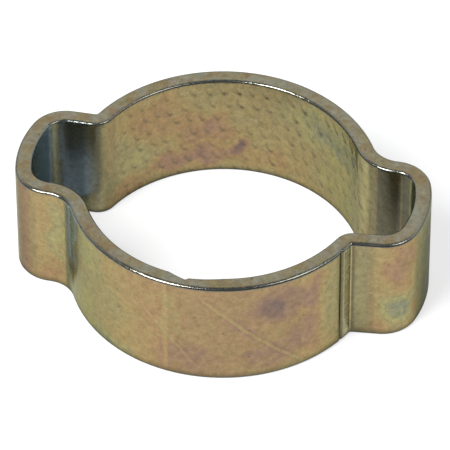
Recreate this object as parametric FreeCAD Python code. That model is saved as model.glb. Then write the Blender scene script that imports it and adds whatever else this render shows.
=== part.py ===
import FreeCAD, Part
import math
import os

# Two-ear hose clamp in its open state, made of one strip of steel.
# Millimetres and degrees. The ring's axis is Z, the clamp lies on its lower rim at Z = 0,
# and the two ears point along +X (right ear) and -X (left ear).

# Band
seat_radius = 9.0        # inside radius of the open ring, where the hose goes
wall = 1.1               # thickness of the strip
band_width = 8.0         # width of the strip, which is the clamp's height
rim_radius = 0.22        # rounding of the strip's two outside edges
rim_bevel = 0.18         # bevel of its two inside edges, which keeps them off the hose

# Ears, alike on both sides
ear_height = 3.3         # from the outside of the ring to the outside of an ear's end
ear_width = 7.85         # across the outside of an ear
ear_width_height = 1.5   # how far outside the ring that width is measured
ear_bend_radius = 1.3    # inside radius of the two bends at an ear's end
ear_crown_radius = 7.9   # outside radius of the slightly domed end
shortest_side = 0.1      # straight length that is always left between a root and a bend

# Where an ear's sides leave the ring, one root is tight and its side is flared,
# and the other root is a wide bend with a straight side. The left ear is the
# right one turned half a turn, but the press has not left them quite alike or opposite.
right_ear_bearing = 0.3  # direction from the axis, counted from +X
right_tight_root_radius = 0.2
right_wide_root_radius = 1.9
right_flare = 6.0
left_ear_bearing = 179.3
left_tight_root_radius = 0.2
left_wide_root_radius = 2.0
left_flare = 2.0

# Up to the left wide root the ring curves in a little more tightly, so that root lies further in
lead_bearing = 75.0      # from the ear's bearing to where the tighter curve starts
lead_radius = 9.85       # its outside radius

# Seam where the strip's two ends meet, open as a notch on the inside only
seam_bearing = -92.0
seam_depth = 0.36
seam_bevel_run = 1.15    # how far the bevelled end slopes down to the bottom of the notch
seam_lip_depth = 0.2     # depth of the other end's edge
seam_lip_run = 0.2
seam_fade_run = 2.3      # how far the other end takes to come back to the seat

# Line that the press leaves on the outside, beside the right ear's tight root
press_mark_distance = 0.84   # from where the root's bend starts
press_mark_radius = 0.25
press_mark_depth = 0.07

ring_radius = seat_radius + wall
ear_reach = ring_radius + ear_height
ear_width_place = ring_radius + ear_width_height
ear_corner_radius = ear_bend_radius + wall
crown_centre = FreeCAD.Vector(ear_reach - ear_crown_radius, 0, 0)
up = FreeCAD.Vector(0, 0, 1)
tolerance = 0.001        # how near two places must be to count as the same


def polar(radius, bearing):
    angle = math.radians(bearing)
    return FreeCAD.Vector(radius * math.cos(angle), radius * math.sin(angle), 0)


def bearing_of(point):
    return math.degrees(math.atan2(point.y, point.x))


def arc(centre, start, end):
    """Arc of under half a turn from start to end around centre."""
    radius = (start - centre).Length
    middle = (start - centre) + (end - centre)
    middle.normalize()
    return Part.Arc(start, centre + middle * radius, end).toShape()


def line(start, end):
    return Part.LineSegment(start, end).toShape()


def ear_side(side, root_radius, flare, last_radius):
    """Bend centres and face direction of one side of an ear along +X, where side is 1 for +Y or -1 for -Y.

    The side's outer face is the line at the distance face from the axis. A root bend outside it
    touches the face and the ring, and a corner bend inside it touches the face and the crown.
    The last stretch of ring before the root has an outside radius of its own, last_radius.
    """
    angle = math.radians(flare)
    along = FreeCAD.Vector(math.cos(angle), -side * math.sin(angle), 0)
    outward = FreeCAD.Vector(math.sin(angle), side * math.cos(angle), 0)
    face = ear_width_place * math.sin(angle) + ear_width / 2 * math.cos(angle)

    corner_height = face - ear_corner_radius
    crown_to_corner = ear_crown_radius - ear_corner_radius
    crown_to_corner_height = corner_height - crown_centre.dot(outward)
    corner_place = crown_centre.dot(along) + math.sqrt(crown_to_corner ** 2 - crown_to_corner_height ** 2)

    # The root bend can be no larger than one that leaves the shortest side straight
    last_centre = polar(ring_radius - last_radius, side * lead_bearing)
    furthest_root = corner_place - shortest_side - last_centre.dot(along)
    last_face = face - last_centre.dot(outward)
    largest_root = (furthest_root ** 2 - last_radius ** 2 + last_face ** 2) / (2 * (last_radius - last_face))
    root_radius = min(root_radius, largest_root)
    root_height = last_face + root_radius
    root_place = math.sqrt((last_radius + root_radius) ** 2 - root_height ** 2)

    return {
        "outward": outward,
        "last_centre": last_centre,
        "last_radius": last_radius,
        "last_bearing": side * lead_bearing,
        "corner_centre": outward * corner_height + along * corner_place,
        "root_centre": last_centre + outward * root_height + along * root_place,
        "root_radius": root_radius,
    }


def side_points(side, depth):
    """Points where an ear side's bends and faces meet, at a depth into the wall from its outside."""
    root_direction = side["root_centre"] - side["last_centre"]
    root_direction.normalize()
    crown_direction = side["corner_centre"] - crown_centre
    crown_direction.normalize()
    return {
        "lead": polar(ring_radius - depth, side["last_bearing"]),
        "ring": side["last_centre"] + root_direction * (side["last_radius"] - depth),
        "root": side["root_centre"] - side["outward"] * (side["root_radius"] + depth),
        "corner": side["corner_centre"] + side["outward"] * (ear_corner_radius - depth),
        "crown": crown_centre + crown_direction * (ear_crown_radius - depth),
    }


def ear_edges(ear, depth):
    """Edges of an ear from its tight root round to the start of its lead, with the points at both ends."""
    turn = FreeCAD.Rotation(up, ear["bearing"])
    tight, wide = ear["tight_side"], ear["wide_side"]
    first, last = side_points(tight, depth), side_points(wide, depth)
    edges = [
        arc(tight["root_centre"], first["ring"], first["root"]),
        line(first["root"], first["corner"]),
        arc(tight["corner_centre"], first["corner"], first["crown"]),
        arc(crown_centre, first["crown"], last["crown"]),
        arc(wide["corner_centre"], last["crown"], last["corner"]),
        line(last["corner"], last["root"]),
        arc(wide["root_centre"], last["root"], last["ring"]),
        arc(wide["last_centre"], last["ring"], last["lead"]),
    ]
    for edge in edges:
        edge.rotate(FreeCAD.Vector(), up, ear["bearing"])
    return edges, turn.multVec(first["ring"]), turn.multVec(last["lead"])


def band_outline(ears, depth):
    """Closed outline of the band at a depth into the wall: 0 is its outside, and wall its inside."""
    pieces = [ear_edges(ear, depth) for ear in ears]
    edges = []
    for number, (ear_run, _, ring_start) in enumerate(pieces):
        ring_end = pieces[(number + 1) % len(pieces)][1]
        edges += ear_run
        edges.append(arc(FreeCAD.Vector(), ring_start, ring_end))
    return Part.Wire(Part.__sortEdges__(edges))


def rim_edges(solid, outline):
    """The solid's edges that follow an outline, round its lower rim and its upper rim."""
    places = [edge.CenterOfMass for edge in outline.Edges]
    found = []
    for edge in solid.Edges:
        foot = FreeCAD.Vector(edge.CenterOfMass.x, edge.CenterOfMass.y, 0)
        level = edge.BoundBox.ZLength < tolerance
        if level and any((foot - place).Length < tolerance for place in places):
            found.append(edge)
    return found


def bent_strip(ears):
    """The band bent to shape, with its outside edges rounded and its inside edges bevelled."""
    outside, inside = band_outline(ears, 0), band_outline(ears, wall)
    block = Part.Face(outside).extrude(up * band_width)
    block = block.makeFillet(rim_radius, rim_edges(block, outside))
    band = block.cut(Part.Face(inside).extrude(up * band_width))
    return band.makeChamfer(rim_bevel, rim_edges(band, inside))


def seam_notch():
    """Cutter for the notch: a bevel down to the bottom, a short step up to the lip, then a long fade."""
    def inner_face(run, depth):
        return polar(seat_radius + depth, seam_bearing + math.degrees(run / seat_radius))

    corners = [
        inner_face(-seam_bevel_run, 0),
        inner_face(0, seam_depth),
        inner_face(seam_lip_run, seam_lip_depth),
        inner_face(seam_fade_run, 0),
        inner_face(0, -seam_depth),
    ]
    return Part.Face(Part.makePolygon(corners + corners[:1])).extrude(up * band_width)


def press_mark(ear):
    """Cutter for the shallow line beside an ear's tight root."""
    root_bearing = ear["bearing"] + bearing_of(ear["tight_side"]["root_centre"])
    bearing = root_bearing - math.degrees(press_mark_distance / ring_radius)
    centre = polar(ring_radius + press_mark_radius - press_mark_depth, bearing)
    return Part.makeCylinder(press_mark_radius, band_width, centre, up)


def clamp_band():
    right_ear = {
        "bearing": right_ear_bearing,
        "tight_side": ear_side(-1, right_tight_root_radius, right_flare, ring_radius),
        "wide_side": ear_side(1, right_wide_root_radius, 0.0, ring_radius),
    }
    left_ear = {
        "bearing": left_ear_bearing,
        "tight_side": ear_side(-1, left_tight_root_radius, left_flare, ring_radius),
        "wide_side": ear_side(1, left_wide_root_radius, 0.0, lead_radius),
    }
    band = bent_strip([right_ear, left_ear])
    return band.cut(seam_notch()).cut(press_mark(right_ear))


os.makedirs("parts", exist_ok=True)
band = clamp_band()
band.Solids[0].exportStep("parts/clamp_band.step")
print("clamp_band valid", band.isValid(), "solids", len(band.Solids), "volume", round(band.Volume, 1))
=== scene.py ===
import math
import bpy
import numpy as np
from mathutils import Matrix, Vector


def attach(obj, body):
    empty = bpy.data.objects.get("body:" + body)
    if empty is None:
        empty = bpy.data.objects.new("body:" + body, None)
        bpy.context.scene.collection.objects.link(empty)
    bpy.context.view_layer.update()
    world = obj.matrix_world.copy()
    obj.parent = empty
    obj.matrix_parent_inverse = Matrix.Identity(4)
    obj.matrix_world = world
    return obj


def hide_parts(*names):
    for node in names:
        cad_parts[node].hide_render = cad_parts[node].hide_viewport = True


# Two-ear hose clamp of yellow chromated steel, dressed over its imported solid.
# Sizes are in millimetres and angles in degrees, and mm turns them into the scene's metres.
# Bearings are directions from the ring's axis, counted from +X, as in the part's source.
mm = 0.001
quarter_turn, full_turn = 90.0, 360.0
tolerance = 1e-6         # how near two depths must be to count as the same

# Band, as in the part's source
seat_radius = 9.0
wall = 1.1
band_width = 8.0
rim_radius = 0.22        # rounding of the two outside edges
inner_rim_radius = 0.18  # rounding of the two inside edges, where the solid has a bevel
ring_radius = seat_radius + wall

# Depths into the wall up to which a place is on the outside face, and from which it is on the inside face
outside_face_depth = rim_radius / 2
inside_face_depth = wall - inner_rim_radius / 2

# Ears, as in the part's source
ear_height = 3.3
ear_width = 7.85
ear_width_height = 1.5
ear_bend_radius = 1.3
ear_crown_radius = 7.9
shortest_side = 0.1
ear_corner_radius = ear_bend_radius + wall
ear_width_place = ring_radius + ear_width_height
crown_centre = np.array([ring_radius + ear_height - ear_crown_radius, 0.0])
right_ear_bearing = 0.3
right_tight_root_radius = 0.2
right_wide_root_radius = 1.9
right_flare = 6.0
left_ear_bearing = 179.3
left_tight_root_radius = 0.2
left_wide_root_radius = 2.0
left_flare = 2.0
lead_bearing = 75.0
lead_radius = 9.85

# Seam where the strip's ends meet: a notch on the inside
seam_bearing = -92.0
seam_runs = (-1.15, 0.0, 0.2, 2.3)
seam_depths = (0.0, 0.36, 0.2, 0.0)

# Line that the press left beside the right ear's tight root
press_mark_distance = 0.84
press_mark_radius = 0.25
press_mark_depth = 0.07

# Knurl rolled into the inside face: rows of small hooked strokes, each a quarter of an oval
# that runs down and then to the right, seen from inside, and is deepest at its foot
stroke_pitch = 0.94      # from stroke to stroke along a row
stroke_row_pitch = 1.15
stroke_row_shift = 0.29  # how far each lower row is moved to the right
stroke_reach = 0.40      # how far a stroke runs to the right
stroke_drop = 0.60       # how far it runs down
stroke_half_width = 0.08
stroke_depth = 0.06
stroke_rows = 7
stroke_top = 7.5         # height of the top row's upper ends

# Shares of stroke_half_width and of stroke_depth at a stroke's upper end, and how much more its foot has
stroke_narrow, stroke_widening = 0.7, 0.6
stroke_shallow, stroke_deepening = 0.35, 0.65

# Turns round the oval over which a stroke comes in at its upper end and goes out past its foot
stroke_start_fade, stroke_end_fade = 24.0, 20.0

# How the strokes differ: how far they stray, and the ranges of their strength and size
stroke_seed = 7
stroke_jitter = 0.05
stroke_strengths = (0.5, 1.0)
stroke_sizes = (0.85, 1.15)
spare_strokes = 3        # draws for each row beyond its own strokes

# Bearings from which the places on the inside and on the outside are counted up
inside_start, outside_start = -90.0, -180.0

# Bearings between which there is knurl, as spans with its strength. The one that crosses the place
# where the inside's bearings start is given from both of its sides.
knurl_spans = ((17.0, 152.0, 1.0), (200.0, 280.0, 1.0), (-100.0, -28.0, 1.0))
knurl_fade = 5.0

# Fineness of the mesh
column_step = 0.1
inside_step = 0.1
outside_step = 0.36
guard_step = 0.04        # from a rounding to the nearest row on the flat beside it
rounding_parts = 4

# Tints of the chromate film as it gets thicker, each a place on one ramp. Without film, the zinc is bare.
bare, blue_grey, grey_green, yellow_green = -0.15, 0.12, 0.22, 0.34
olive, gold, orange, pink, violet = 0.46, 0.60, 0.72, 0.84, 0.97
film_tints = (
    (0.0, (0.38, 0.49, 0.56)),
    (blue_grey, (0.25, 0.27, 0.22)),
    (grey_green, (0.27, 0.27, 0.165)),
    (yellow_green, (0.39, 0.345, 0.155)),
    (olive, (0.34, 0.295, 0.15)),
    (gold, (0.39, 0.30, 0.14)),
    (orange, (0.38, 0.255, 0.13)),
    (pink, (0.33, 0.215, 0.145)),
    (violet, (0.215, 0.15, 0.13)),
)

# Patches of film, each a tint, the bearing and height of its middle, how far it reaches along the strip and
# up, and its strength. A band that goes all the way up has a rise of all_heights. Some of them are painted
# shade and painted reflection rather than film: the bare, blue-grey and grey-green bands in the left ear's
# hollow and at its wide root, the grey-green bands inside the right ear, at its wide root and on its end,
# and the low blue-grey patch on the front at -126.
all_heights = 20.0
tall_patch = 3.0         # patches that rise further than this have plain outlines
inside_plain, outside_plain, rim_plain = 0.54, 0.60, 0.50  # film where there is no patch
inside_film_and_shade_patches = (
    (orange, 134.0, 5.8, 2.8, 2.0, 1.0),
    (olive, 150.0, 3.6, 1.6, 2.6, 0.9),
    (yellow_green, 141.0, 3.0, 1.2, 1.0, 0.7),
    (pink, 112.0, 3.8, 2.6, 1.4, 0.8),
    (pink, 115.0, 1.5, 3.6, 0.9, 1.0),
    (violet, 95.8, 1.9, 0.6, 0.8, 1.0),
    (orange, 84.0, 1.5, 1.8, 1.0, 0.8),
    (grey_green, 54.0, 6.0, 3.6, 1.8, 0.85),
    (grey_green, 37.5, 5.8, 1.0, 1.9, 0.9),
    (yellow_green, 43.0, 2.4, 2.8, 1.8, 1.0),
    (grey_green, 30.6, 6.5, 0.5, 3.0, 1.0),
    (yellow_green, 24.0, 5.0, 0.5, 3.0, 1.0),
    (orange, 156.2, 5.6, 0.4, 3.0, 0.9),
    (bare, 174.0, 4.0, 3.4, all_heights, 1.0),
    (bare, 161.2, 4.0, 1.45, all_heights, 1.0),
    (gold, 160.5, 0.1, 2.2, 1.4, 0.5),
    (blue_grey, 165.8, 4.0, 0.8, all_heights, 1.0),
    (grey_green, 166.0, 4.0, 0.35, all_heights, 1.0),
    (grey_green, 9.5, 6.0, 1.2, all_heights, 1.0),
    (orange, 147.0, 0.8, 2.2, 0.9, 0.9),
)
outside_film_and_shade_patches = (
    (pink, -167.3, 4.0, 0.55, all_heights, 0.9),
    (yellow_green, -161.0, 4.6, 0.8, 2.4, 0.9),
    (orange, -162.3, 1.1, 0.8, 1.2, 0.9),
    (orange, -159.4, 3.6, 0.2, 0.4, 1.0),
    (blue_grey, -152.0, 6.4, 1.0, 7.2, 1.0),
    (bare, -149.2, 6.4, 1.0, 6.4, 1.0),
    (blue_grey, -126.0, 0.1, 2.8, 0.9, 0.8),
    (pink, -144.6, 5.4, 0.12, 1.8, 0.9),
    (grey_green, -136.5, 6.8, 1.6, 1.9, 0.8),
    (yellow_green, -142.0, 2.1, 2.0, 1.8, 1.0),
    (olive, -127.0, 4.0, 1.8, 2.4, 0.9),
    (gold, -105.0, 1.6, 1.6, 1.5, 0.8),
    (orange, -86.0, 4.0, 4.6, all_heights, 0.9),
    (gold, -97.0, 4.5, 0.7, 2.6, 0.9),
    (pink, -90.0, 1.9, 1.5, 1.2, 0.8),
    (pink, -54.0, 6.0, 2.6, 1.7, 1.0),
    (violet, -60.9, 6.1, 0.9, 1.0, 0.75),
    (pink, -44.4, 6.1, 0.9, 1.1, 1.0),
    (pink, -46.0, 2.9, 1.6, 1.6, 0.9),
    (pink, -60.0, 1.8, 1.6, 1.1, 0.8),
    (olive, -34.7, 5.0, 0.9, 3.0, 1.0),
    (yellow_green, -27.0, 4.0, 0.5, all_heights, 1.0),
    (yellow_green, -20.0, 4.0, 0.5, 4.4, 0.8),
    (orange, -17.6, 1.0, 0.6, 1.1, 1.0),
    (pink, -13.6, 5.8, 0.9, 2.4, 0.75),
    (blue_grey, -13.9, 2.1, 1.0, 1.5, 0.85),
    (pink, -8.7, 1.9, 0.4, 1.0, 0.9),
    (grey_green, -4.0, 4.0, 1.1, all_heights, 0.8),
    (olive, 6.0, 3.0, 1.6, 2.4, 0.8),
    (orange, 14.0, 5.0, 1.0, 2.0, 0.8),
    (blue_grey, 29.0, 4.0, 0.7, all_heights, 0.7),
    (pink, 43.0, 5.6, 2.2, 1.6, 0.9),
    (yellow_green, 56.0, 2.4, 2.2, 1.8, 0.9),
    (orange, 80.0, 5.2, 3.0, 1.8, 0.9),
    (pink, 97.0, 2.0, 2.4, 1.4, 0.9),
    (yellow_green, 112.0, 5.8, 2.2, 1.6, 0.8),
    (orange, 128.0, 2.6, 2.4, 1.8, 0.9),
    (violet, 136.0, 5.6, 0.9, 1.0, 0.7),
    (olive, 168.0, 3.4, 2.0, 2.2, 0.8),
    (pink, 176.0, 5.4, 1.2, 1.6, 0.8),
)

# Waves that make the outlines of the low patches uneven, first along the strip and then in height: how
# far each shifts a place, and the radians that it turns in a millimetre along the strip and upwards
run_wave = (0.25, 1.1, 1.9)
height_wave = (0.3, 2.3, 1.3)

# Where painted shade darkens the film, mostly in recesses, and where painted light brightens it beside them,
# each by the bearings where they start and end and by how much
painted_shade_inside = ((166.6, 168.8, 0.6), (160.0, 164.8, 0.4), (152.6, 157.2, 0.2),
               (20.2, 22.8, 0.4), (16.6, 20.8, 0.8), (13.4, 17.0, 0.85))
painted_shade_outside = ((-176.0, -164.0, 0.2), (-158.0, -154.4, 0.6), (-98.0, -48.0, 0.12), (-22.8, -17.6, 0.25))
painted_light_inside = ((157.4, 160.0, 0.45), (23.2, 27.0, 0.15))
painted_light_outside = ((-153.4, -147.4, 0.25), (-28.8, -25.2, 0.9), (-25.6, -22.6, 0.4))
spot_fade = 0.5          # bearing over which they come and go

# Dark lines of painted shade in the press mark and in the right ear's tight root, each by its width and
# strength
press_mark_shade_width, press_mark_shade = 0.3, 0.68
crease_shade_width, crease_shade = 0.05, 0.54

# Painted shade along the lower edges, up to a height, and on the start of the outside's upper rounding
lower_edge_shade_height = 0.3
upper_edge_shade = 0.43
upper_edge_shade_depth = rim_radius / 5
upper_edge_shade_start = band_width - 0.9 * rim_radius

# Scratches on the front: bearing at half height, slope, half width, lowest and highest point and strength
scratch_lines = (
    (-100.5, -0.81, 0.18, 0.6, 5.9, 0.45),
    (-68.0, -0.97, 0.22, 0.2, 7.4, 0.6),
    (-98.7, 0.0, 0.2, 0.0, 9.0, 0.35),
)
scratch_core = 3         # how many times narrower the part at full strength is
fringe_reach = 3         # how many times wider the fringe beside a scratch is
scratch_end_fade = 0.8   # height over which the ends come and go
scratch_wander = 0.5     # how far they stray from a straight line

# Dark pits on the front, by bearing and height
pits = ((-121.3, 6.5), (-126.1, 5.5), (-118.0, 4.1), (-127.6, 7.0), (-118.6, 5.6),
        (-87.5, 5.4), (-38.0, 6.3))
pit_radius = 0.16

# Specks on the film: cells in a metre, how high a cell's random number has to be for one, and how near
# its middle the speck is, each from where it starts to where it is full
speck_cells = 1300.0
speck_choice = (0.80, 0.84)
speck_reach = (0.14, 0.05)

# Noises in the steel, each by its scale in a metre, its detail and its roughness
cloud_noise = (420.0, 3.0, 0.6)
mottle_noise = (1700.0, 3.0, 0.65)
grain_noise = (6500.0, 2.0, 0.6)
rim_noise = (900.0, 3.0, 0.6)
tone_noise = (2600.0, 4.0, 0.7)
dent_noise = (3300.0, 2.0, 0.5)
wander_noise = (500.0, 2.0, 0.5)

# How much they change the film, what the rims add to it and to its mottle, and how much a scratch and
# its fringe change it, all as places on the ramp of tints
film_clouds, film_mottle, film_grain = 0.24, 0.2, 0.16
rim_film, rim_mottle = 0.1, 0.5
scratch_film, fringe_film = -0.28, 0.14

# Zinc that shows on the rims: how much all over and how much more in patches, and the values of the
# noise at which a patch starts and is full
rim_zinc, rim_patch_zinc = 0.08, 0.34
rim_patch = (0.35, 0.65)

# Brightness of the film: inside, how much more outside and on the rims, which is painted light over the
# shaded inside, how uneven it is, and in a scratch
plain_tone, outside_painted_lift = 0.88, 0.05
tone_unevenness, tone_grain = 0.9, 0.4
scratch_tone = 0.08

# Wear and painted shade on the rounded edges, from where they start on a rounding to where they are full,
# and how strong they are
edge_wear_and_shade_start, edge_wear_and_shade_full = 0.1, 0.7
edge_wear_and_shade = 0.7

# Painted shade in the knurl's strokes, and the darkness of the specks and pits
stroke_darkness = 0.95
speck_darkness = 0.6

# Gloss: roughness, how uneven it is and how much smoother the worn edges are
plain_roughness, roughness_mottle, edge_smoothness = 0.25, 0.15, 0.06

# Small dents: height of the relief, and its shares on the faces and, beyond that, on the worn edges
dent_height = 0.012
face_dents, edge_dents = 0.25, 1.4

# Colours apart from the film's
white = (1.0, 1.0, 1.0, 1.0)
zinc = (0.46, 0.53, 0.50, 1.0)
# Painted light
painted_light_colour = (0.66, 0.60, 0.38, 1.0)
# Painted shade
painted_shade_colour = (0.10, 0.105, 0.085, 1.0)
# Worn edges with painted shade
worn_and_shaded_edge = (0.27, 0.29, 0.27, 1.0)
edge_reflection = (0.60, 0.62, 0.55, 1.0)
# Painted shade in the knurl's strokes
stroke_shade = (0.11, 0.095, 0.07, 1.0)
# Painted shade along the edges, the press mark and the crease
painted_line_shade_colour = (0.04, 0.045, 0.035, 1.0)
speck_shade = (0.08, 0.09, 0.08, 1.0)

# Lamps: name, bearing and elevation of its place, size, watts, and whether the metal mirrors it
lamp_distance = 400.0
lamps = (
    ("key_lamp", -127.0, 51.0, 160.0, 1.0, True),
    ("floor_lamp", -125.0, 50.0, 200.0, 1.2, False),
    ("fill_lamp", -14.0, 56.0, 160.0, 0.22, True),
)


class Bend:
    """Arc of the strip. Its radius is the outside face's, which is negative where that face is hollow."""

    def __init__(self, centre, radius, start, end):
        self.centre = np.asarray(centre)
        self.radius = radius
        self.start = start
        self.end = end

    def length(self, depth):
        return abs(math.radians(self.end - self.start) * (self.radius - depth))

    def sample(self, parts):
        bearings = np.radians(self.start + (self.end - self.start) * parts)
        normals = np.column_stack([np.cos(bearings), np.sin(bearings)])
        return self.centre + normals * self.radius, normals


class Flat:
    """Straight run of the strip between two points of its outside face."""

    def __init__(self, first, last, bearing):
        self.first = np.asarray(first)
        self.last = np.asarray(last)
        self.normal = direction(bearing)

    def length(self, depth):
        return float(np.linalg.norm(self.last - self.first))

    def sample(self, parts):
        points = self.first + (self.last - self.first) * parts[:, None]
        return points, np.repeat(self.normal[None, :], len(parts), axis=0)


def direction(bearing):
    angle = math.radians(bearing)
    return np.array([math.cos(angle), math.sin(angle)])


def bearing_of(point):
    return math.degrees(math.atan2(point[1], point[0]))


def ear_side(side, root_radius, flare, last_radius):
    """Centres and directions of one side of an ear along +X, worked out as in the part's source."""
    angle = math.radians(flare)
    along = np.array([math.cos(angle), -side * math.sin(angle)])
    outward = np.array([math.sin(angle), side * math.cos(angle)])
    face = ear_width_place * math.sin(angle) + ear_width / 2 * math.cos(angle)
    corner_height = face - ear_corner_radius
    crown_to_corner = ear_crown_radius - ear_corner_radius
    crown_to_corner_height = corner_height - crown_centre.dot(outward)
    corner_place = crown_centre.dot(along) + math.sqrt(crown_to_corner ** 2 - crown_to_corner_height ** 2)
    last_centre = (ring_radius - last_radius) * direction(side * lead_bearing)
    furthest_root = corner_place - shortest_side - last_centre.dot(along)
    last_face = face - last_centre.dot(outward)
    largest_root = (furthest_root ** 2 - last_radius ** 2 + last_face ** 2) / (2 * (last_radius - last_face))
    root_radius = min(root_radius, largest_root)
    root_height = last_face + root_radius
    root_place = math.sqrt((last_radius + root_radius) ** 2 - root_height ** 2)
    root_centre = last_centre + outward * root_height + along * root_place
    corner_centre = outward * corner_height + along * corner_place
    return {
        "root_centre": root_centre,
        "root_radius": root_radius,
        "root_bearing": bearing_of(root_centre - last_centre),
        "last_centre": last_centre,
        "last_radius": last_radius,
        "corner_centre": corner_centre,
        "crown_bearing": bearing_of(corner_centre - crown_centre),
        "face_bearing": bearing_of(outward),
        "root_end": root_centre - outward * root_radius,
        "corner_start": corner_centre + outward * ear_corner_radius,
    }


def ear_runs(tight, wide, turn):
    """Bends and flats of an ear from its tight root to its wide root's lead, turned to the ear's bearing."""
    angle = math.radians(turn)
    spin = np.array([[math.cos(angle), -math.sin(angle)], [math.sin(angle), math.cos(angle)]])

    def bend(centre, radius, start, end):
        return Bend(spin @ centre, radius, start + turn, end + turn)

    def flat(first, last, bearing):
        return Flat(spin @ first, spin @ last, bearing + turn)

    return [
        bend(tight["root_centre"], -tight["root_radius"], tight["root_bearing"], tight["face_bearing"]),
        flat(tight["root_end"], tight["corner_start"], tight["face_bearing"]),
        bend(tight["corner_centre"], ear_corner_radius, tight["face_bearing"], tight["crown_bearing"]),
        bend(crown_centre, ear_crown_radius, tight["crown_bearing"], wide["crown_bearing"]),
        bend(wide["corner_centre"], ear_corner_radius, wide["crown_bearing"], wide["face_bearing"]),
        flat(wide["corner_start"], wide["root_end"], wide["face_bearing"]),
        bend(wide["root_centre"], -wide["root_radius"], wide["face_bearing"], wide["root_bearing"]),
        bend(wide["last_centre"], wide["last_radius"], wide["root_bearing"], lead_bearing),
    ]


def ring_run(start, end):
    return Bend(np.zeros(2), ring_radius, start, end)


def seam_notch(bearing):
    """Depth of the notch below the inside face at a bearing on the ring."""
    run = math.radians(bearing - seam_bearing) * seat_radius
    return float(np.interp(run, seam_runs, seam_depths))


right_tight = ear_side(-1, right_tight_root_radius, right_flare, ring_radius)
right_wide = ear_side(1, right_wide_root_radius, 0.0, ring_radius)
left_tight = ear_side(-1, left_tight_root_radius, left_flare, ring_radius)
left_wide = ear_side(1, left_wide_root_radius, 0.0, lead_radius)
right_tight_bearing = right_ear_bearing + right_tight["root_bearing"]
press_mark_bearing = right_tight_bearing - math.degrees(press_mark_distance / ring_radius)
press_mark_half_width = math.sqrt(press_mark_radius ** 2 - (press_mark_radius - press_mark_depth) ** 2)


def press_groove(bearing):
    """Depth of the press mark at a bearing on the ring."""
    run = math.radians(bearing - press_mark_bearing) * ring_radius
    if abs(run) >= press_mark_half_width:
        return 0.0
    return math.sqrt(press_mark_radius ** 2 - run ** 2) - (press_mark_radius - press_mark_depth)


def strip_runs():
    """Every bend and flat once round, from the strip's one end at the seam to its other end."""
    right_end = right_ear_bearing + lead_bearing
    left_start = left_ear_bearing + left_tight["root_bearing"]
    left_end = left_ear_bearing + lead_bearing
    seam_stops = [seam_bearing + math.degrees(run / seat_radius) for run in seam_runs]
    half_mark = math.degrees(press_mark_half_width / ring_radius)
    mark_stops = [press_mark_bearing - half_mark, press_mark_bearing, press_mark_bearing + half_mark]

    def ring_runs(stops):
        return [ring_run(first, last) for first, last in zip(stops, stops[1:])]

    return (
        ring_runs(seam_stops[1:] + mark_stops + [right_tight_bearing])
        + ear_runs(right_tight, right_wide, right_ear_bearing)
        + ring_runs([right_end, left_start])
        + ear_runs(left_tight, left_wide, left_ear_bearing)
        + ring_runs([left_end, seam_stops[0] + full_turn, seam_stops[1] + full_turn])
    )


def spaced(start, end, step):
    count = max(1, round(abs(end - start) / step))
    return list(np.linspace(start, end, count + 1))


def section_rows():
    """The strip's cross-section once round, as rows of a depth, a height and how far on a rounding it is."""
    rows = []

    def rounding(centre_depth, centre_height, radius, start):
        for part in range(rounding_parts + 1):
            turned = math.radians(start - quarter_turn * part / rounding_parts)
            depth = centre_depth + radius * math.cos(turned)
            height = centre_height + radius * math.sin(turned)
            rows.append((depth, height, math.sin(math.pi * part / rounding_parts)))

    def flat(first, last, step):
        first_guard = first + math.copysign(guard_step, last - first)
        last_guard = last - math.copysign(guard_step, last - first)
        return spaced(first_guard, last_guard, step)

    top = band_width - rim_radius
    inner_top = band_width - inner_rim_radius
    inner_depth = wall - inner_rim_radius
    rows += [(0.0, height, 0.0) for height in flat(rim_radius, top, outside_step)]
    rounding(rim_radius, top, rim_radius, 2 * quarter_turn)
    rows += [(depth, band_width, 0.0) for depth in flat(rim_radius, inner_depth, outside_step)]
    rounding(inner_depth, inner_top, inner_rim_radius, quarter_turn)
    rows += [(wall, height, 0.0) for height in flat(inner_top, inner_rim_radius, inside_step)]
    rounding(inner_depth, inner_rim_radius, inner_rim_radius, 0.0)
    rows += [(depth, 0.0, 0.0) for depth in flat(inner_depth, rim_radius, outside_step)]
    rounding(rim_radius, rim_radius, rim_radius, -quarter_turn)
    return np.array(rows)


def strip_columns():
    """Points and normals of the outside face along the strip, and what belongs to each of them.

    That is the run up to it on the inside face and at mid-wall, and the depths of the notch and of the
    press mark there. The whole length at mid-wall is given too.
    """
    points, normals, inside_runs, middle_runs, notches, grooves = [], [], [], [], [], []
    inside_run, middle_run = 0.0, 0.0
    for run in strip_runs():
        count = max(1, round(run.length(wall / 2) / column_step))
        parts = np.arange(count) / count
        run_points, run_normals = run.sample(parts)
        points.append(run_points)
        normals.append(run_normals)
        inside_runs.append(inside_run + parts * run.length(wall))
        middle_runs.append(middle_run + parts * run.length(wall / 2))
        inside_run += run.length(wall)
        middle_run += run.length(wall / 2)
        on_ring = isinstance(run, Bend) and run.radius == ring_radius
        for point in run_points:
            bearing = bearing_of(point)
            notches.append(seam_notch(bearing) if on_ring else 0.0)
            grooves.append(press_groove(bearing) if on_ring else 0.0)
    return (np.concatenate(points), np.concatenate(normals), np.concatenate(inside_runs),
            np.concatenate(middle_runs), middle_run, np.array(notches), np.array(grooves))


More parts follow.
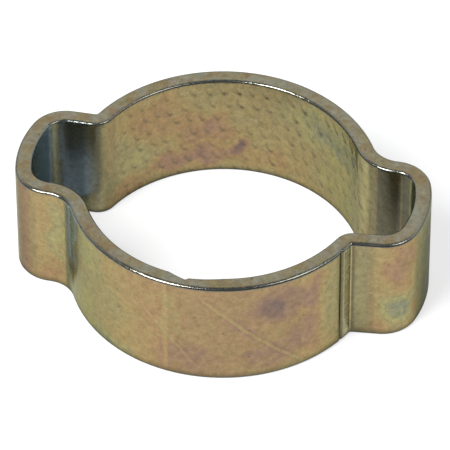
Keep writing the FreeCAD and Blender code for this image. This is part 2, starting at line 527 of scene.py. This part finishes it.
def knurl(runs, heights):
    """How deep in a stroke of the knurl each place of the inside face is, from 0 to 1."""
    least_oval = 0.01        # keeps the oval's middle from a division by nothing
    random = np.random.default_rng(stroke_seed)
    per_row = int(runs.max() / stroke_pitch) + spare_strokes
    jitters = random.normal(0.0, stroke_jitter, (stroke_rows, per_row, 2))
    strengths = random.uniform(*stroke_strengths, (stroke_rows, per_row))
    sizes = random.uniform(*stroke_sizes, (stroke_rows, per_row))
    # Seen from inside, right is where the bearing falls, so the distance to the right is minus the run
    right = -runs
    rows_start = stroke_top + (stroke_row_pitch - stroke_drop) / 2
    row = np.floor((rows_start - heights) / stroke_row_pitch).astype(int)
    in_rows = (row >= 0) & (row < stroke_rows)
    row = np.clip(row, 0, stroke_rows - 1)
    shifted = right - row * stroke_row_shift
    place = np.rint(shifted / stroke_pitch).astype(int)
    index = np.mod(place, per_row)
    # From the oval's middle, which is above the stroke's foot and to the right of its upper end
    left_of = stroke_reach / 2 - (shifted - place * stroke_pitch - jitters[row, index, 0])
    below = (stroke_top - row * stroke_row_pitch) - (heights - jitters[row, index, 1])
    reach = stroke_reach * sizes[row, index]
    drop = stroke_drop * sizes[row, index]
    oval = np.hypot(left_of / reach, below / drop)
    beside = (oval - 1.0) * np.hypot(left_of, below) / np.maximum(oval, least_oval)
    turned = np.degrees(np.arctan2(below / drop, left_of / reach))
    foot = np.clip(turned / quarter_turn, 0.0, 1.0)
    start = np.clip((turned + stroke_start_fade / 2) / stroke_start_fade, 0.0, 1.0)
    end = np.clip((quarter_turn + stroke_end_fade / 2 - turned) / stroke_end_fade, 0.0, 1.0)
    ends = start * end
    half_width = stroke_half_width * (stroke_narrow + stroke_widening * foot)
    deepening = stroke_shallow + stroke_deepening * foot
    depth = np.exp(-((beside / half_width) ** 2)) * ends * deepening * strengths[row, index]
    return np.where(in_rows, depth, 0.0)


def turned_bearings(points, start):
    """Bearings of points, counted up from start."""
    return start + np.mod(np.degrees(np.arctan2(points[:, 1], points[:, 0])) - start, full_turn)


def wave(runs, heights, reach, turn_along, turn_up):
    return reach * np.sin(turn_along * runs[:, None] + turn_up * heights[None, :])


def film_thickness(bearings, runs, length, heights, plain, patches):
    """The film over one face of the strip of a length, from its plain value and its patches."""
    film = np.full((len(runs), len(heights)), plain)
    wave_runs = wave(runs, heights, *run_wave)
    wave_heights = wave(runs, heights, *height_wave)
    for tint, bearing, height, reach, rise, strength in patches:
        run = runs[np.argmin(np.abs(bearings - bearing))]
        waves = 1.0 if rise < tall_patch else 0.0
        along = (np.mod(runs[:, None] + waves * wave_runs - run + length / 2, length) - length / 2) / reach
        up = (heights[None, :] + waves * wave_heights - height) / rise
        share = strength * np.exp(-(along ** 2 + up ** 2) ** 2)
        film += (tint - film) * share
    return film


def spots(bearings, spans, fade):
    """How strong a thing that is given by spans of bearings is along one face of the strip."""
    found = np.zeros(len(bearings))
    for first, last, amount in spans:
        inside = np.minimum(bearings - first, last - bearings) / fade
        found = np.maximum(found, amount * np.clip(inside, 0.0, 1.0))
    return found


def painted_groove_shade(points):
    """Painted shade along the press mark and along the crease beside it, as dark lines up the outside face.
    """
    bearings = turned_bearings(points, outside_start)
    crease_bearing = right_ear_bearing + bearing_of(right_tight["root_end"])
    mark = np.radians(bearings - press_mark_bearing) * ring_radius / press_mark_shade_width
    crease = np.radians(bearings - crease_bearing) * ring_radius / crease_shade_width
    return np.maximum(press_mark_shade * np.exp(-mark ** 2), crease_shade * np.exp(-crease ** 2))


def painted_line_shade_amount(points, depth, height):
    """Painted shade in the dark lines up the outside face and along the edges."""
    lines = painted_groove_shade(points)[:, None] * (depth < outside_face_depth)
    lower_edge = np.exp(-(height / lower_edge_shade_height) ** 2)
    upper_edge = upper_edge_shade * (depth < upper_edge_shade_depth) * (height > upper_edge_shade_start)
    return np.maximum(lines, np.maximum(lower_edge, upper_edge))


def film_and_painted_shading(middle, runs, length, rows):
    """The film at each place of the strip, and how much painted shade and painted light it gets there."""
    depth, height = rows[None, :, 0], rows[:, 1]
    on_face = (depth < outside_face_depth) | (depth > inside_face_depth)
    on_inside = depth > wall / 2
    inside_bearings = turned_bearings(middle, inside_start)
    outside_bearings = turned_bearings(middle, outside_start)

    def by_face(inside, outside, on_rim):
        return np.where(on_face, np.where(on_inside, inside, outside), on_rim)

    def spots_by_face(inside_spans, outside_spans):
        inside = spots(inside_bearings, inside_spans, spot_fade)[:, None]
        outside = spots(outside_bearings, outside_spans, spot_fade)[:, None]
        return by_face(inside, outside, 0.0)

    inside_film = film_thickness(inside_bearings, runs, length, height, inside_plain, inside_film_and_shade_patches)
    outside_film = film_thickness(outside_bearings, runs, length, height, outside_plain, outside_film_and_shade_patches)
    film = by_face(inside_film, outside_film, rim_plain)
    return film, spots_by_face(painted_shade_inside, painted_shade_outside), spots_by_face(painted_light_inside, painted_light_outside)


def strip_mesh(name, points, normals, depth, height):
    """Closed mesh of the strip, from its places along the outside and each row's depth and height there."""
    columns, row_count = depth.shape
    plan = points[:, None, :] - normals[:, None, :] * depth[:, :, None]
    vertices = np.concatenate([plan, height[:, :, None]], axis=2).reshape(-1, 3) * mm
    column = np.arange(columns)[:, None]
    row = np.arange(row_count)[None, :]
    next_column = (column + 1) % columns
    next_row = (row + 1) % row_count
    corners = [column * row_count + row, next_column * row_count + row,
               next_column * row_count + next_row, column * row_count + next_row]
    faces = np.stack(np.broadcast_arrays(*corners), axis=2).reshape(-1, 4)
    mesh = bpy.data.meshes.new(name)
    mesh.from_pydata(vertices.tolist(), [], faces.tolist())
    mesh.polygons.foreach_set("use_smooth", np.ones(len(faces), dtype=bool))
    return mesh


def add_attribute(mesh, name, values):
    attribute = mesh.attributes.new(name, "FLOAT", "POINT")
    attribute.data.foreach_set("value", np.asarray(values, dtype=np.float32).ravel())


def clamp_band_steel():
    """The whole strip as one closed mesh, with its rounded edges, seam, press mark and knurl."""
    points, normals, inside_runs, middle_runs, length, notches, grooves = strip_columns()
    rows = section_rows()
    columns, row_count = len(points), len(rows)
    depth = np.repeat(rows[None, :, 0], columns, axis=0)
    height = np.repeat(rows[None, :, 1], columns, axis=0)
    rounding = np.repeat(rows[None, :, 2], columns, axis=0)

    # The notch and the press mark fade in over the edge roundings, because they are cut from a face
    inside_share = np.clip((depth - wall / 2) / (wall / 2 - inner_rim_radius), 0.0, 1.0)
    outside_share = np.clip((rim_radius - depth) / rim_radius, 0.0, 1.0)
    strokes = knurl(np.repeat(inside_runs[:, None], row_count, axis=1), height)
    strokes = np.where(depth >= wall - tolerance, strokes, 0.0)
    middle = points - normals * wall / 2
    knurled = spots(turned_bearings(middle, inside_start), knurl_spans, knurl_fade)
    strokes = strokes * knurled[:, None]
    film, painted_shade, painted_light = film_and_painted_shading(middle, middle_runs, length, rows)
    shaped_depth = depth - notches[:, None] * inside_share + grooves[:, None] * outside_share
    shaped_depth = shaped_depth - stroke_depth * strokes

    mesh = strip_mesh("clamp_band_steel", points, normals, shaped_depth, height)
    add_attribute(mesh, "stroke", strokes)
    add_attribute(mesh, "rounding", rounding)
    add_attribute(mesh, "film", film)
    # Painted shade, painted light and the lines of painted shade go to the material as attributes
    add_attribute(mesh, "painted_shade", painted_shade)
    add_attribute(mesh, "painted_light", painted_light)
    add_attribute(mesh, "painted_line_shade", painted_line_shade_amount(points, depth, height))
    add_attribute(mesh, "outside", depth < outside_face_depth)
    on_rim = np.minimum(rows[None, :, 1], band_width - rows[None, :, 1]) < guard_step
    add_attribute(mesh, "rim", np.repeat(on_rim, columns, axis=0))
    mesh.update()
    piece = bpy.data.objects.new("clamp_band_steel", mesh)
    bpy.context.scene.collection.objects.link(piece)
    print("clamp_band_steel", columns, "columns", row_count, "rows", 2 * columns * row_count, "triangles")
    return piece


def add_camera():
    """Camera where the photograph was taken from, worked out from the ring's two rims."""
    elevation, azimuth, roll = 44.43, 12.65, -0.174
    distance = 332.4
    focal_length_pixels = 5179.84
    picture_width = 450
    ring_centre_right, ring_centre_down = 222.90, 222.43  # where the ring's middle is, in pixels
    target = Vector((0.0, 0.0, band_width / 2 * mm))
    flat, up = math.radians(azimuth), math.radians(elevation)
    towards = Vector((math.sin(flat) * math.cos(up), -math.cos(flat) * math.cos(up), math.sin(up)))
    data = bpy.data.cameras.new("camera")
    data.lens = focal_length_pixels / picture_width * data.sensor_width
    data.shift_x = (picture_width / 2 - ring_centre_right) / picture_width
    data.shift_y = (ring_centre_down - picture_width / 2) / picture_width
    camera = bpy.data.objects.new("camera", data)
    turn = towards.to_track_quat("Z", "Y").to_matrix().to_4x4() @ Matrix.Rotation(math.radians(roll), 4, "Z")
    camera.matrix_world = Matrix.Translation(target + towards * distance * mm) @ turn
    bpy.context.scene.collection.objects.link(camera)
    bpy.context.scene.camera = camera


class Nodes:
    """Builds one node tree. An input is given as another node's output or as a plain value."""

    def __init__(self, tree):
        self.tree = tree
        tree.nodes.clear()

    def new(self, kind, inputs=(), output=0, **settings):
        """One output of a new node, which gets the inputs and the settings."""
        node = self.tree.nodes.new(kind)
        for name, value in settings.items():
            setattr(node, name, value)
        for socket, value in dict(inputs).items():
            self.give(node.inputs[socket], value)
        return node.outputs[output] if node.outputs else None

    def give(self, socket, value):
        if isinstance(value, bpy.types.NodeSocket):
            self.tree.links.new(value, socket)
        else:
            socket.default_value = value

    def attribute(self, name):
        return self.new("ShaderNodeAttribute", output="Fac", attribute_name=name)

    def math(self, operation, first, second=0.0):
        return self.new("ShaderNodeMath", {0: first, 1: second}, operation=operation)

    def plus(self, value, other, amount):
        """A value plus an amount of another one."""
        return self.math("ADD", value, self.math("MULTIPLY", other, amount))

    def noise(self, place, scale, detail, roughness):
        inputs = {"Vector": place, "Scale": scale, "Detail": detail, "Roughness": roughness}
        return self.new("ShaderNodeTexNoise", inputs)

    def ramp(self, factor, stops):
        node = self.tree.nodes.new("ShaderNodeValToRGB")
        elements = node.color_ramp.elements
        while len(elements) < len(stops):
            elements.new(1.0)
        for element, (place, colour) in zip(elements, stops):
            element.position = place
            element.color = (*colour, 1.0)
        self.give(node.inputs["Fac"], factor)
        return node.outputs["Color"]

    def around(self, value, noise, amount):
        """A value moved up and down by a noise, by up to half the amount."""
        return self.plus(value, self.math("SUBTRACT", noise, 0.5), amount)

    def smooth(self, value, low, high):
        """A smooth step from 0 where the value is low to 1 where it is high."""
        return self.new("ShaderNodeMapRange", {"Value": value, "From Min": low, "From Max": high},
                        interpolation_type="SMOOTHSTEP")

    def mix(self, factor, first, second):
        """A mix of two colours, which are inputs 6 and 7 of its node and come out at output 2."""
        return self.new("ShaderNodeMix", {0: factor, 6: first, 7: second}, output=2, data_type="RGBA")


def scratches(nodes, place):
    """Light scratches across the front with the seam's upright trace, and the fringes beside them."""
    parts = nodes.new("ShaderNodeSeparateXYZ", {"Vector": place}).node.outputs
    bearing = nodes.math("ARCTAN2", parts["Y"], parts["X"])
    run = nodes.math("MULTIPLY", bearing, ring_radius)
    height = nodes.math("DIVIDE", parts["Z"], mm)
    wander = nodes.math("SUBTRACT", nodes.noise(place, *wander_noise), 0.5)
    lines, fringes = 0.0, 0.0
    for bearing_at_middle, slope, width, lowest, highest, strength in scratch_lines:
        middle_run = math.radians(bearing_at_middle) * ring_radius
        lean = nodes.math("MULTIPLY", nodes.math("SUBTRACT", height, band_width / 2), slope)
        beside = nodes.math("SUBTRACT", nodes.math("SUBTRACT", run, middle_run), lean)
        beside = nodes.math("ABSOLUTE", nodes.plus(beside, wander, scratch_wander))
        lower_end = nodes.smooth(height, lowest, lowest + scratch_end_fade)
        upper_end = nodes.smooth(height, highest, highest - scratch_end_fade)
        ends = nodes.math("MULTIPLY", nodes.math("MULTIPLY", lower_end, upper_end), strength)
        line = nodes.math("MULTIPLY", ends, nodes.smooth(beside, width, width / scratch_core))
        fringe = nodes.math("MULTIPLY", ends, nodes.smooth(beside, fringe_reach * width, width))
        lines = nodes.math("MAXIMUM", lines, line)
        fringes = nodes.math("MAXIMUM", fringes, fringe)
    return lines, fringes


def specks(nodes, place):
    """Small dark specks scattered over the film, and the larger pits."""
    cells = nodes.new("ShaderNodeTexVoronoi", {"Vector": place, "Scale": speck_cells}, output="Distance")
    pick = nodes.new("ShaderNodeSeparateColor", {"Color": cells.node.outputs["Color"]}, output="Red")
    found = nodes.math("MULTIPLY", nodes.smooth(pick, *speck_choice), nodes.smooth(cells, *speck_reach))
    for bearing, height in pits:
        middle = Vector((*direction(bearing) * ring_radius, height)) * mm
        away = nodes.new("ShaderNodeVectorMath", {0: place, 1: middle}, output="Value", operation="DISTANCE")
        found = nodes.math("MAXIMUM", found, nodes.smooth(away, pit_radius * mm, 0.0))
    return found


def chromated_steel():
    """Zinc-plated steel with a yellow chromate film, whose tint shifts with the film's thickness."""
    material = bpy.data.materials.new("chromated_steel")
    material.use_nodes = True
    nodes = Nodes(material.node_tree)
    place = nodes.new("ShaderNodeTexCoord", output="Object")
    stroke = nodes.attribute("stroke")
    rounding = nodes.attribute("rounding")
    rim = nodes.attribute("rim")
    film = nodes.attribute("film")
    painted_shade = nodes.attribute("painted_shade")
    painted_light = nodes.attribute("painted_light")
    painted_line_shade = nodes.attribute("painted_line_shade")
    outside = nodes.attribute("outside")

    # The film wanders in broad clouds and in a fine mottle
    mottle = nodes.noise(place, *mottle_noise)
    grain = nodes.noise(place, *grain_noise)
    film = nodes.plus(film, rim, rim_film)
    film = nodes.around(film, nodes.noise(place, *cloud_noise), film_clouds)
    film = nodes.around(film, mottle, nodes.plus(film_mottle, rim, rim_mottle))
    film = nodes.around(film, grain, film_grain)
    scratch, fringe = scratches(nodes, place)
    scratch = nodes.math("MULTIPLY", scratch, outside)
    fringe = nodes.math("MULTIPLY", fringe, outside)
    film = nodes.plus(film, fringe, fringe_film)
    film = nodes.plus(film, scratch, scratch_film)
    tint = nodes.ramp(film, film_tints)

    # Zinc shows in patches on the rims
    rim_patches = nodes.smooth(nodes.noise(place, *rim_noise), *rim_patch)
    rim_bare = nodes.math("MULTIPLY", rim, nodes.plus(rim_zinc, rim_patches, rim_patch_zinc))
    colour = nodes.mix(rim_bare, tint, zinc)
    # Painted light where its spans give it
    colour = nodes.mix(painted_light, colour, painted_light_colour)
    # Painted shade where its spans give it
    colour = nodes.mix(painted_shade, colour, painted_shade_colour)

    # The tone is uneven in a fine way, the outside and the rims get painted light over the inside, and the
    # rounded edges are worn to greyer metal with painted shade
    tone = nodes.plus(plain_tone, nodes.math("MAXIMUM", outside, rim), outside_painted_lift)
    tone = nodes.around(tone, nodes.noise(place, *tone_noise), tone_unevenness)
    tone = nodes.around(tone, grain, tone_grain)
    tone = nodes.plus(tone, scratch, scratch_tone)
    colour = nodes.new("ShaderNodeVectorMath", {0: colour, "Scale": tone}, operation="SCALE")
    edge = nodes.smooth(rounding, edge_wear_and_shade_start, edge_wear_and_shade_full)
    colour = nodes.mix(nodes.math("MULTIPLY", edge, edge_wear_and_shade), colour, worn_and_shaded_edge)

    # Dark places: painted shade in the knurl's strokes, along the edges and in the press mark and crease,
    # and the pits and specks
    colour = nodes.mix(nodes.math("MULTIPLY", stroke, stroke_darkness), colour, stroke_shade)
    colour = nodes.mix(painted_line_shade, colour, painted_line_shade_colour)
    colour = nodes.mix(nodes.math("MULTIPLY", specks(nodes, place), speck_darkness), colour, speck_shade)

    roughness = nodes.around(plain_roughness, mottle, roughness_mottle)
    roughness = nodes.plus(roughness, edge, -edge_smoothness)
    dents = nodes.math("MULTIPLY", nodes.noise(place, *dent_noise), nodes.plus(face_dents, edge, edge_dents))
    bump = nodes.new("ShaderNodeBump", {"Strength": 1.0, "Distance": dent_height * mm, "Height": dents})
    shader = nodes.new("ShaderNodeBsdfPrincipled", {
        "Base Color": colour,
        "Metallic": 1.0,
        "Specular Tint": edge_reflection,
        "Roughness": roughness,
        "Normal": bump,
    })
    nodes.new("ShaderNodeOutputMaterial", {"Surface": shader})
    return material


def add_floor():
    """Pale floor that takes the shadow. It looks white to the camera and glows faintly in the metal."""
    half = 2.0               # from its middle to its sides, in the scene's metres
    seen_glow, mirrored_glow = 0.65, 0.05
    seen_grey, lighting_grey = (0.4, 0.4, 0.4, 1.0), (0.8, 0.8, 0.8, 1.0)
    corners = [(-half, -half, 0), (half, -half, 0), (half, half, 0), (-half, half, 0)]
    mesh = bpy.data.meshes.new("floor")
    mesh.from_pydata(corners, [], [(0, 1, 2, 3)])
    floor = bpy.data.objects.new("floor", mesh)
    bpy.context.scene.collection.objects.link(floor)
    material = bpy.data.materials.new("floor")
    material.use_nodes = True
    nodes = Nodes(material.node_tree)
    camera_ray = nodes.new("ShaderNodeLightPath", output="Is Camera Ray")
    glossy_ray = nodes.new("ShaderNodeLightPath", output="Is Glossy Ray")
    strength = nodes.plus(nodes.math("MULTIPLY", camera_ray, seen_glow), glossy_ray, mirrored_glow)
    matt = nodes.new("ShaderNodeBsdfDiffuse", {"Color": nodes.mix(camera_ray, lighting_grey, seen_grey)})
    glow = nodes.new("ShaderNodeEmission", {"Color": white, "Strength": strength})
    both = nodes.new("ShaderNodeAddShader", {0: matt, 1: glow})
    nodes.new("ShaderNodeOutputMaterial", {"Surface": both})
    mesh.materials.append(material)


def add_world():
    """White to the camera, and to the metal a soft studio that is dim overhead and in front."""
    front_grey = (0.15, 0.17, 0.19, 1.0)
    front_fade = 0.35        # how far each way from the sides the front's dimness comes in
    horizon_to_overhead = (
        (0.0, (0.25, 0.27, 0.30)),
        (0.45, (0.6, 0.6, 0.6)),
        (0.72, (0.85, 0.85, 0.85)),
        (0.84, (0.12, 0.14, 0.17)),
        (1.0, (0.06, 0.08, 0.11)),
    )
    world = bpy.data.worlds.new("studio")
    bpy.context.scene.world = world
    world.use_nodes = True
    nodes = Nodes(world.node_tree)
    towards = nodes.new("ShaderNodeTexCoord", output="Generated")
    parts = nodes.new("ShaderNodeSeparateXYZ", {"Vector": towards}).node.outputs
    studio = nodes.ramp(parts["Z"], horizon_to_overhead)
    in_front = nodes.smooth(parts["Y"], front_fade, -front_fade)
    studio = nodes.mix(in_front, studio, front_grey)
    camera_ray = nodes.new("ShaderNodeLightPath", output="Is Camera Ray")
    colour = nodes.mix(camera_ray, studio, white)
    background = nodes.new("ShaderNodeBackground", {"Color": colour, "Strength": 1.0})
    nodes.new("ShaderNodeOutputWorld", {"Surface": background})


def add_lamp(name, bearing, elevation, size, watts, mirrored):
    """Square soft lamp that faces the object. One that isn't mirrored only lights the floor."""
    data = bpy.data.lights.new(name, "AREA")
    data.size = size * mm
    data.energy = watts
    lamp = bpy.data.objects.new(name, data)
    lamp.visible_glossy = mirrored
    flat, up = math.radians(bearing), math.radians(elevation)
    towards = Vector((math.cos(flat) * math.cos(up), math.sin(flat) * math.cos(up), math.sin(up)))
    turn = towards.to_track_quat("Z", "Y").to_matrix().to_4x4()
    lamp.matrix_world = Matrix.Translation(towards * lamp_distance * mm) @ turn
    bpy.context.scene.collection.objects.link(lamp)


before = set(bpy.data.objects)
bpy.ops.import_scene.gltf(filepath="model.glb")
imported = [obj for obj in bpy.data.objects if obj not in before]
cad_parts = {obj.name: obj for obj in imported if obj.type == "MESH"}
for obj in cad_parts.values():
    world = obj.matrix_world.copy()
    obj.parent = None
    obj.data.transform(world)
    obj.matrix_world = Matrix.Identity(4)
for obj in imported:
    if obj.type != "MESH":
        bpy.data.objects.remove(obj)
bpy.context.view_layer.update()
bpy.context.scene.view_settings.view_transform = "Standard"
add_camera()

piece = clamp_band_steel()
piece.data.materials.append(chromated_steel())
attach(piece, "root")
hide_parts("clamp_band")

add_floor()
add_world()
for lamp in lamps:
    add_lamp(*lamp)
